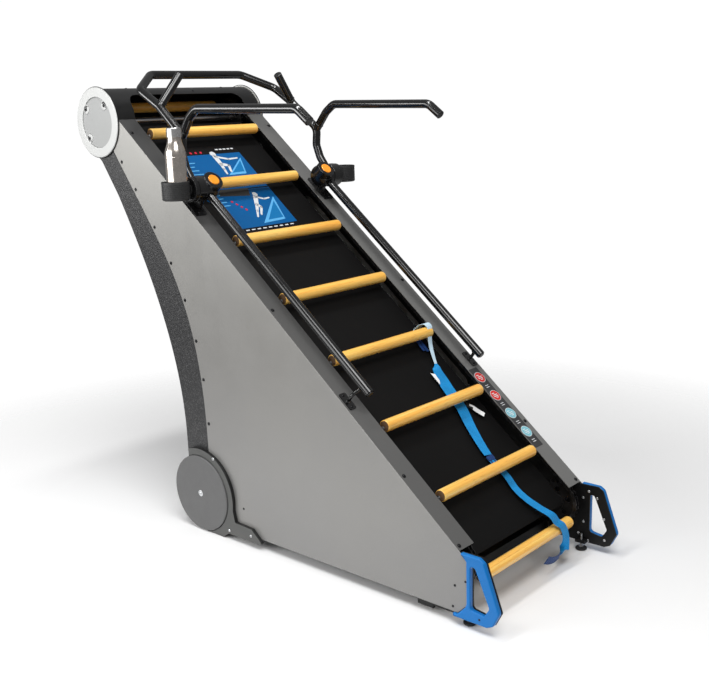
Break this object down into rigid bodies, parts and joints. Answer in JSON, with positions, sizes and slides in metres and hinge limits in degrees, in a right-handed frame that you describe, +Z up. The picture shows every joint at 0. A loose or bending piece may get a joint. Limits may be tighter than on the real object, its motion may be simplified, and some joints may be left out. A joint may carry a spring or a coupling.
{
  "type": "ladder climber",
  "caption": "Inclined self-powered ladder climber: wooden rungs on an endless chain loop between steel side panels, with rails, tilting handlebar frame, lift handles and transport wheels.",
  "frame": {"origin": "on the floor, midway between the sides and midway between the front of the lift handles and the rear of the end rings", "axes": "+X to the user's right, +Y horizontally from the foot of the ladder to its rear, +Z up"},
  "size_m": [0.998, 2.0387, 1.7895],
  "materials": {
    "side_grey": "satin warm grey paint on sheet steel",
    "frame_black": "gloss black paint, orange-peel",
    "cover_black": "black hammer-finish powder coat",
    "hood_charcoal": "satin charcoal paint on rolled sheet",
    "ring_silver": "fine satin, light silver",
    "plate_grey": "mid-grey satin paint",
    "steel": "oiled bright steel",
    "rung_wood": "clear-varnished beech, lengthwise grain",
    "hub_black": "fine-grained black moulding",
    "button_orange": "glossy orange",
    "cup_rubber": "soft ribbed dark rubber",
    "bottle_steel": "brushed stainless",
    "handle_blue": "semi-gloss blue with rolled edges",
    "foot_steel": "zinc-plated, dull",
    "wheel_grey": "dark grey moulded wheel face",
    "strap_blue": "woven azure webbing"
  },
  "bodies": {
    "root": {"brake_caliper": "frame_black", "chain_left": "steel", "chain_right": "steel", "cup_holder_left": "cup_rubber", "cup_holder_right": "cup_rubber", "end_plate_left": "plate_grey", "end_plate_right": "plate_grey", "end_ring_left": "ring_silver", "end_ring_right": "ring_silver", "front_crossmember": "frame_black", "hood": "hood_charcoal", "hub_left": "hub_black", "hub_right": "hub_black", "inner_deck": "frame_black", "lift_handle_left": "handle_blue", "lift_handle_right": "handle_blue", "lower_axle": "steel", "rail_left": "frame_black", "rail_right": "frame_black", "rear_cover": "cover_black", "rear_crossmember": "frame_black", "side_frame_left": "frame_black", "side_frame_right": "frame_black", "side_panel_left": "side_grey", "side_panel_right": "side_grey", "upper_bearing_left": "steel", "upper_bearing_right": "steel", "wheel_bracket_left": "frame_black", "wheel_bracket_right": "frame_black"},
    "front_run": {"rung_02": "rung_wood", "rung_03": "rung_wood", "rung_04": "rung_wood", "rung_05": "rung_wood", "rung_06": "rung_wood", "rung_07": "rung_wood", "rung_08": "rung_wood", "waist_strap": "strap_blue"},
    "rear_run": {"rung_10": "rung_wood", "rung_11": "rung_wood", "rung_12": "rung_wood", "rung_13": "rung_wood", "rung_14": "rung_wood", "rung_15": "rung_wood", "rung_16": "rung_wood"},
    "upper_drive": {"upper_shaft": "steel", "upper_sprocket_left": "steel", "upper_sprocket_right": "steel", "brake_disc": "steel", "rung_09": "rung_wood"},
    "lower_idler": {"lower_sprocket_left": "steel", "lower_sprocket_right": "steel", "rung_01": "rung_wood"},
    "handlebar": {"handlebar": "frame_black"},
    "button_left": {"button_left": "button_orange"},
    "button_right": {"button_right": "button_orange"},
    "bottle": {"bottle": "bottle_steel"},
    "foot_left": {"foot_left": "foot_steel"},
    "foot_right": {"foot_right": "foot_steel"},
    "wheel_left": {"wheel_left": "wheel_grey"},
    "wheel_right": {"wheel_right": "wheel_grey"}
  },
  "joints": [
    {"name": "ladder_travel", "type": "slide", "parent": "root", "child": "front_run", "axis": [0, -0.766, -0.6428], "range_m": [-0.115, 0.122]},
    {"name": "rear_travel", "type": "slide", "parent": "root", "child": "rear_run", "axis": [0, 0.766, 0.6428], "range_m": [-0.116, 0.123]},
    {"name": "upper_shaft_turn", "type": "hinge", "parent": "root", "child": "upper_drive", "pos_m": [0, 0.88082, 1.59838], "axis": [1, 0, 0], "range_deg": [-87.53, 92.82]},
    {"name": "lower_idler_turn", "type": "hinge", "parent": "root", "child": "lower_idler", "pos_m": [0, -0.80469, 0.18407], "axis": [1, 0, 0], "range_deg": [-87.53, 92.82]},
    {"name": "handlebar_tilt", "type": "hinge", "parent": "root", "child": "handlebar", "pos_m": [0, 0.32751, 1.3508], "axis": [1, 0, 0], "range_deg": [0, 25]},
    {"name": "button_left_press", "type": "slide", "parent": "root", "child": "button_left", "axis": [0, 0.7431, -0.6691], "range_m": [0, 0.005], "stiffness_N_per_m": 900, "springref_m": -0.004},
    {"name": "button_right_press", "type": "slide", "parent": "root", "child": "button_right", "axis": [0, 0.7431, -0.6691], "range_m": [0, 0.005], "stiffness_N_per_m": 900, "springref_m": -0.004},
    {"name": "bottle_lift", "type": "slide", "parent": "root", "child": "bottle", "axis": [0, 0, 1], "range_m": [0, 0.2]},
    {"name": "foot_left_level", "type": "slide", "parent": "root", "child": "foot_left", "axis": [0, 0, 1], "range_m": [-0.01, 0.012], "stiffness_N_per_m": 60000},
    {"name": "foot_right_level", "type": "slide", "parent": "root", "child": "foot_right", "axis": [0, 0, 1], "range_m": [-0.01, 0.012], "stiffness_N_per_m": 60000},
    {"name": "wheel_left_turn", "type": "hinge", "parent": "root", "child": "wheel_left", "pos_m": [-0.393, 0.3837, 0.157], "axis": [1, 0, 0], "continuous": true},
    {"name": "wheel_right_turn", "type": "hinge", "parent": "root", "child": "wheel_right", "pos_m": [0.393, 0.3837, 0.157], "axis": [1, 0, 0], "continuous": true}
  ],
  "couplings": [
    {"joint": "rear_travel", "follows": "ladder_travel", "ratio": 1},
    {"joint": "upper_shaft_turn", "follows": "ladder_travel", "rad_per_m": 13.193},
    {"joint": "lower_idler_turn", "follows": "ladder_travel", "rad_per_m": 13.193}
  ]
}
